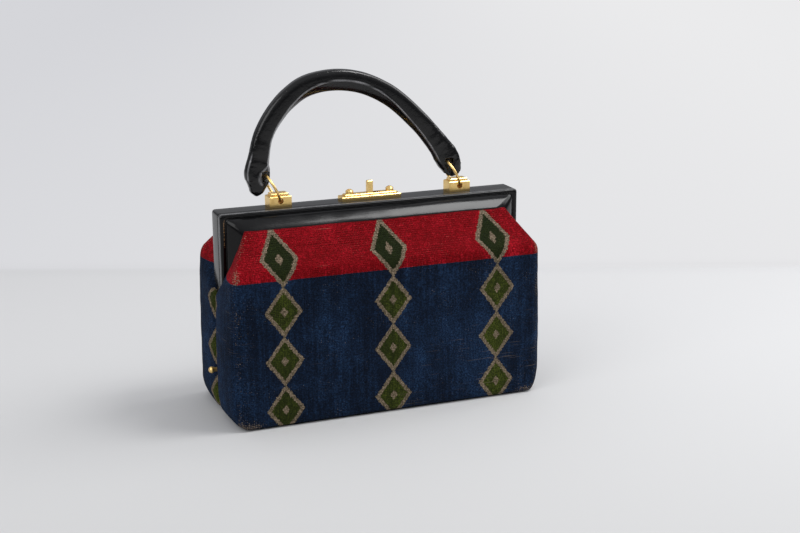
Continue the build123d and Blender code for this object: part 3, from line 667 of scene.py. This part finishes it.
def velvet_material():
    """Cut velvet: navy ground, crimson yoke, and chains of olive lozenges edged in beige.

    The pile has ribs, nap patches and a few pulled threads; where the mask wear says so, threads show.
    """
    mat, g, shader = new_material("velvet")
    place = g.object_coords()
    cloth = g.node("ShaderNodeAttribute", attribute_name="surf").outputs["Vector"]
    split = g.node("ShaderNodeSeparateXYZ", {0: cloth}).outputs
    # Fuzzy borders: the pile of each colour leans over its neighbour
    lean_u = g.math("MULTIPLY_ADD", g.noise(place, 900.0, 2.0), 3.4, -1.7)
    lean_v = g.math("MULTIPLY_ADD", g.noise(g.stretch(place, (1.0, 1.0, 0.6)), 700.0, 2.0), 2.6, -1.3)
    from_middle = lozenges(g, g.math("ADD", split[0], lean_u), g.math("ADD", split[1], lean_v))
    in_lozenge = g.math("LESS_THAN", from_middle, 1.0)
    outline = g.math("MULTIPLY", g.math("GREATER_THAN", from_middle, 0.76), in_lozenge)
    in_beige = g.math("MAXIMUM", outline, g.math("LESS_THAN", from_middle, 0.2))
    in_yoke = g.math("GREATER_THAN", g.math("MULTIPLY_ADD", lean_v, 0.3, split[1]), YOKE_Z)
    weave = g.group(WEAVE, Cloth=cloth, Object=place, Rib=1.3)
    grain = weave["Grain"]
    # Nap: broad lighter patches, upright streaks and tufts that catch the light
    patch = g.group(PATCHES, Vector=g.stretch(place, (1.0, 1.0, 0.55)), Scale=19.0, Low=0.46, High=0.72)[0]
    blotch = g.group(PATCHES, Vector=place, Scale=90.0, Low=0.44, High=0.74)[0]
    streak = g.ramp(g.noise(g.stretch(place, (380, 380, 16)), 1.0, 3.0, 0.65), 0.42, 0.70)
    lit = g.math("MULTIPLY_ADD", patch, 0.50, g.math("MULTIPLY", blotch, 0.22))
    lit = g.math("MULTIPLY_ADD", streak, 0.24, lit)
    lit = g.math("MULTIPLY", lit, g.math("MULTIPLY_ADD", grain, 1.25, 0.35))
    lit = g.math("ADD", lit, g.math("MULTIPLY", g.math("POWER", grain, 3.0), 0.16), clamp=True)
    ground = g.mix(in_yoke, g.mix(lit, NAVY, NAVY_LIT), g.mix(lit, CRIMSON, CRIMSON_LIT))
    olive = g.mix(in_yoke, g.mix(lit, OLIVE, OLIVE_LIT), g.mix(lit, OLIVE_DARK, OLIVE))
    beige = g.mix(grain, BEIGE, THREAD)
    color = g.mix(in_lozenge, ground, olive)
    color = g.mix(g.math("MULTIPLY", in_beige, g.math("MULTIPLY_ADD", grain, 0.35, 0.6)), color, beige)
    # Painted shade: furrows between the ribs and gaps between the tufts stay darker
    tone = g.math("MULTIPLY_ADD", weave["Ribs"], 0.30, 0.80)
    tone = g.math("MULTIPLY", tone, g.math("MULTIPLY_ADD", grain, 0.5, 0.62))
    shade = g.node("ShaderNodeCombineColor", {0: tone, 1: tone, 2: tone}).outputs[0]
    color = g.mix(1.0, color, shade, blend="MULTIPLY")
    # A few pale pulled threads run across the face
    pulled = g.ramp(g.noise(g.stretch(place, (34, 34, 1500)), 1.0, 1.0, 0.4), 0.70, 0.76)
    pulled = g.math("MULTIPLY", pulled, g.ramp(g.noise(place, 14.0, 1.0), 0.52, 0.62))
    color = g.mix(g.math("MULTIPLY", pulled, 0.26), color, THREAD)
    # Worn corners show the ground threads between the remaining tufts
    threads = g.noise(g.stretch(place, (800, 800, 1700)), 1.0, 2.0, 0.7)
    worn = g.math("ADD", g.mask("wear"), g.math("MULTIPLY_ADD", threads, 2.4, -1.32))
    worn = g.ramp(g.math("MULTIPLY_ADD", weave["Ribs"], 0.5, worn), 0.50, 0.80)
    color = g.mix(g.math("MULTIPLY", worn, 0.75), color, beige)
    g.feed(shader.inputs["Base Color"], color)
    shader.inputs["Roughness"].default_value = 0.9
    shader.inputs["Specular IOR Level"].default_value = 0.06
    shader.inputs["Sheen Weight"].default_value = 0.09
    shader.inputs["Sheen Roughness"].default_value = 0.45
    g.feed(shader.inputs["Sheen Tint"], g.mix(0.2, color, (0.75, 0.78, 0.9, 1)))
    height = g.math("ADD", weave["Height"], g.math("MULTIPLY", streak, 0.4))
    height = g.math("ADD", height, g.math("MULTIPLY", in_beige, -0.5))
    bump = g.node("ShaderNodeBump", {"Height": height, "Strength": 0.9, "Distance": 0.0007})
    g.feed(shader.inputs["Normal"], bump.outputs[0])
    return mat


# The second colour is the pale painted highlight of the leather's edges and ridges
TAN_SCUFF, EDGE_HIGHLIGHT = (0.30, 0.17, 0.075, 1), gray(0.36, 0.37)


def leather_material(name, color, rough, crease, gloss=0.3, coat=0.18):
    """Smooth calf leather: pores and folds, uneven gloss and dust.

    It gets a pale painted highlight where the mask edge says so, and is scuffed to the tan hide where the
    mask scuff does.
    """
    mat, g, shader = new_material(name)
    place = g.object_coords()
    smudge = g.group(PATCHES, Vector=place, Scale=24.0, Low=0.4, High=0.75)[0]
    dust = g.group(PATCHES, Vector=place, Scale=420.0, Low=0.56, High=0.80)[0]
    smudged = tuple(c * 1.7 + 0.0015 for c in color[:3]) + (1,)
    dusty = tuple(min(c * 6 + 0.02, 0.5) for c in color[:3]) + (1,)
    base = g.mix(smudge, color, smudged)
    base = g.mix(g.math("MULTIPLY", dust, 0.10), base, dusty)
    scuff = g.mask("scuff")
    ragged = g.math("MULTIPLY_ADD", g.noise(place, 900.0, 2.0, 0.6), 0.8, -0.4)
    scuffed = g.ramp(g.math("ADD", scuff, ragged), 0.42, 0.62)
    scuffed = g.math("MULTIPLY", scuffed, g.math("GREATER_THAN", scuff, 0.02))
    # Painted highlight: pale lines where the mask edge says so, broken up by noise
    uneven = g.math("MULTIPLY_ADD", g.noise(place, 130.0, 4.0, 0.65), 1.7, -0.15)
    edge_highlight_mask = g.math("MULTIPLY", g.mask("edge"), uneven, clamp=True)
    base = g.mix(g.math("MULTIPLY", edge_highlight_mask, 0.9), base, EDGE_HIGHLIGHT)
    g.feed(shader.inputs["Base Color"], g.mix(scuffed, base, TAN_SCUFF))
    dull = g.math("MULTIPLY_ADD", scuffed, 0.4, rough - 0.05)
    g.feed(shader.inputs["Roughness"], g.math("MULTIPLY_ADD", smudge, 0.14, dull))
    shader.inputs["Specular IOR Level"].default_value = gloss
    shader.inputs["Coat Weight"].default_value = coat
    shader.inputs["Coat Roughness"].default_value = 0.10
    height = g.group(CREASES, Vector=place, Fold=crease)[0]
    bump = g.node("ShaderNodeBump", {"Height": height, "Strength": 0.4, "Distance": 0.0006})
    g.feed(shader.inputs["Normal"], bump.outputs[0])
    return mat


def metal_material(name, color, rough):
    """Polished metal with faint brushing, dulled patches and small dull spots."""
    mat, g, shader = new_material(name)
    place = g.object_coords()
    brushing = g.noise(g.stretch(place, (300, 3000, 3000)), 1.0, 3.0, 0.6)
    tarnish = g.group(PATCHES, Vector=place, Scale=190.0, Low=0.46, High=0.8)[0]
    spots = g.group(PATCHES, Vector=place, Scale=800.0, Low=0.60, High=0.72)[0]
    dull = tuple(c * k for c, k in zip(color[:3], (0.72, 0.62, 0.46))) + (1,)
    aged = g.mix(g.math("MULTIPLY", tarnish, 0.6), color, dull)
    g.feed(shader.inputs["Base Color"], g.mix(g.math("MULTIPLY", spots, 0.25), aged, dull))
    shader.inputs["Metallic"].default_value = 1.0
    patchy = g.math("MULTIPLY_ADD", tarnish, 0.16, rough - 0.05)
    g.feed(shader.inputs["Roughness"], g.math("MULTIPLY_ADD", brushing, 0.12, patchy))
    bump = g.node("ShaderNodeBump", {"Height": brushing, "Strength": 0.08, "Distance": 0.0003})
    g.feed(shader.inputs["Normal"], bump.outputs[0])
    return mat


BLACK, TAN, FIBRE = gray(0.0016, 0.0019), (0.12, 0.05, 0.022, 1), (0.30, 0.22, 0.13, 1)
velvet = velvet_material()
frame_black = leather_material("black_leather", BLACK, 0.16, 0.12, 0.20, 0.12)
handle_black = leather_material("handle_leather", BLACK, 0.15, 1.0, 0.3, 0.2)
lining_tan = leather_material("lining_leather", TAN, 0.5, 0.3, 0.4, 0.0)
brass = metal_material("brass", (1.0, 0.70, 0.27, 1), 0.28)
steel = metal_material("steel", (0.50, 0.49, 0.47, 1), 0.32)
fibreboard = leather_material("fibreboard", FIBRE, 0.8, 0.2, 0.2, 0.0)

by_slot = {
    "velvet": velvet, "leather": frame_black, "lining": lining_tan,
    "brass": brass, "steel": steel, "board": fibreboard, "core": fibreboard,
}
for item in frame["record"]["subparts"]:
    frame["nodes"][item["node"]].material_slots[0].material = by_slot[item["material_slot"]]


# Soft pieces

for half, side_name, body in ((FRONT, "front", "front_half"), (REAR, "rear", "bag")):
    cover = velvet_cover(side_name + "_velvet_cover", half, velvet)
    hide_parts(side_name + "_velvet", side_name + "_board")
    inside = lining_skin(side_name + "_lining_skin", half, lining_tan)
    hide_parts(side_name + "_lining")
    rail = frame_skin(side_name + "_frame_skin", half, frame_black)
    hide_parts(side_name + "_frame_leather")
    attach(rail, body)
    # The front's cover and lining stay fixed where they are; the rear's are attached to the bag
    for piece in (cover, inside):
        if half == FRONT:
            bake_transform(piece)
        else:
            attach(piece, "bag")

grip = handle_skin("handle_skin", handle_black)
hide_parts("handle_leather")
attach(grip, "handle")

for side, side_name in ((-1, "left"), (1, "right")):
    pleat = gusset_skin(side_name + "_gusset_skin", side, frame_black)
    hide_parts(side_name + "_gusset")
    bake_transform(pleat)


# Stage, light and camera

# Metres from here on: the photograph's backdrop starts beyond this line, across the direction of view
VIEW_X, VIEW_Y, BACKDROP_LINE = 0.369, 0.929, 0.366
TABLE_NEAR_SHADED, TABLE_FAR = gray(0.53, 0.525), gray(0.64)
BACKDROP_LEFT, BACKDROP_RIGHT, BACKDROP_FOOT_SHADE = (0.665, 0.67, 0.70, 1), gray(0.83, 0.84), gray(0.55, 0.56)


def stage_material():
    """Pale table that turns into a slightly paler backdrop along one soft line, and far out on every side."""
    mat, g, shader = new_material("pale_stage")
    place = g.object_coords()
    split = g.node("ShaderNodeSeparateXYZ", {0: place}).outputs
    behind = g.math("MULTIPLY_ADD", split[0], VIEW_X, g.math("MULTIPLY", split[1], VIEW_Y))
    across = g.math("MULTIPLY_ADD", split[0], VIEW_Y, g.math("MULTIPLY", split[1], -VIEW_X))
    distance = g.node("ShaderNodeVectorMath", {0: place}, operation="LENGTH").outputs["Value"]
    beyond = g.ramp(behind, BACKDROP_LINE - 0.010, BACKDROP_LINE + 0.012)
    far = g.math("MAXIMUM", beyond, g.ramp(distance, 0.8, 2.0))
    # Painted shadow: a darker band along the line where the table meets the backdrop
    before_line = g.ramp(behind, BACKDROP_LINE - 0.036, BACKDROP_LINE)
    line = g.math("MULTIPLY", before_line, g.ramp(behind, BACKDROP_LINE + 0.044, BACKDROP_LINE))
    # Painted shade: the table is darker towards the camera and paler further back
    table = g.mix(g.ramp(behind, -0.75, 0.25), TABLE_NEAR_SHADED, TABLE_FAR)
    g.feed(shader.inputs["Base Color"], g.mix(g.math("MULTIPLY", line, 0.2), table, BACKDROP_FOOT_SHADE))
    shader.inputs["Roughness"].default_value = 0.75
    # Painted light: for the camera the backdrop glows with its own even brightness, paler to the right
    glow = g.mix(g.ramp(across, -0.9, 0.9), BACKDROP_LEFT, BACKDROP_RIGHT)
    glow = g.mix(g.math("MULTIPLY", line, 0.10), glow, BACKDROP_FOOT_SHADE)
    backdrop = g.node("ShaderNodeEmission", {"Color": glow, "Strength": 1.0}).outputs[0]
    seen = g.math("MULTIPLY", far, g.camera_ray())
    both = g.node("ShaderNodeMixShader", {0: seen, 1: shader.outputs[0], 2: backdrop}).outputs[0]
    g.feed(mat.node_tree.nodes["Material Output"].inputs["Surface"], both)
    return mat


def stage_floor():
    """Flat sheet, 16 m square, at z = 0."""
    steps = np.linspace(-8000, 8000, 9)
    grid = np.stack(np.meshgrid(steps, steps, [0.0], indexing="ij"), axis=-1).reshape(-1, 3)
    return make_mesh("floor", grid, grid_faces(9, 9), stage_material())


def soft_sky():
    """Room light: dim grey at the horizon and pale overhead; the camera itself sees one pale tone."""
    world = bpy.data.worlds.new("world")
    world.use_nodes = True
    g = Graph(world.node_tree)
    background = world.node_tree.nodes["Background"]
    direction = g.node("ShaderNodeTexCoord").outputs["Generated"]
    up = g.node("ShaderNodeSeparateXYZ", {0: direction}).outputs[2]
    tone = g.mix(g.ramp(up, -0.1, 0.75), (0.16, 0.165, 0.18, 1), (0.95, 0.96, 1.0, 1))
    g.feed(background.inputs["Color"], g.mix(g.camera_ray(), tone, gray(1.02, 1.04)))
    background.inputs["Strength"].default_value = 0.74
    return world


def soft_light(name, place, target, size, power):
    """Rectangular area light at place that faces target, all in metres."""
    data = bpy.data.lights.new(name, "AREA")
    data.shape = "RECTANGLE"
    data.size, data.size_y = size
    data.energy = power
    obj = bpy.data.objects.new(name, data)
    bpy.context.scene.collection.objects.link(obj)
    turn = (Vector(place) - Vector(target)).to_track_quat("Z", "Y")
    obj.matrix_world = Matrix.Translation(place) @ turn.to_matrix().to_4x4()


floor = stage_floor()
bpy.context.scene.world = soft_sky()
soft_light("window", (1.5, -0.1, 1.25), (0, 0, 0.1), (1.3, 1.1), 13)
soft_light("fill", (-1.5, -0.9, 1.1), (0, 0, 0.1), (1.4, 1.2), 11)
soft_light("overhead", (0.64, -0.3, 1.33), (0.06, -0.02, 0.15), (0.48, 0.44), 7)

# The camera fitted to the photograph: tilt up from straight down, roll and turn, in degrees
CAMERA_PLACE, CAMERA_TURN = (-0.37578, -1.00910, 0.39016), (74.932, 0.226, -21.715)
camera_data = bpy.data.cameras.new("camera")
camera_data.lens = 65.83
camera_data.sensor_width = 36.0
camera = bpy.data.objects.new("camera", camera_data)
bpy.context.scene.collection.objects.link(camera)
turn = Euler([math.radians(angle) for angle in CAMERA_TURN])
camera.matrix_world = Matrix.Translation(CAMERA_PLACE) @ turn.to_matrix().to_4x4()
bpy.context.scene.camera = camera
bpy.context.scene.view_settings.view_transform = "Standard"
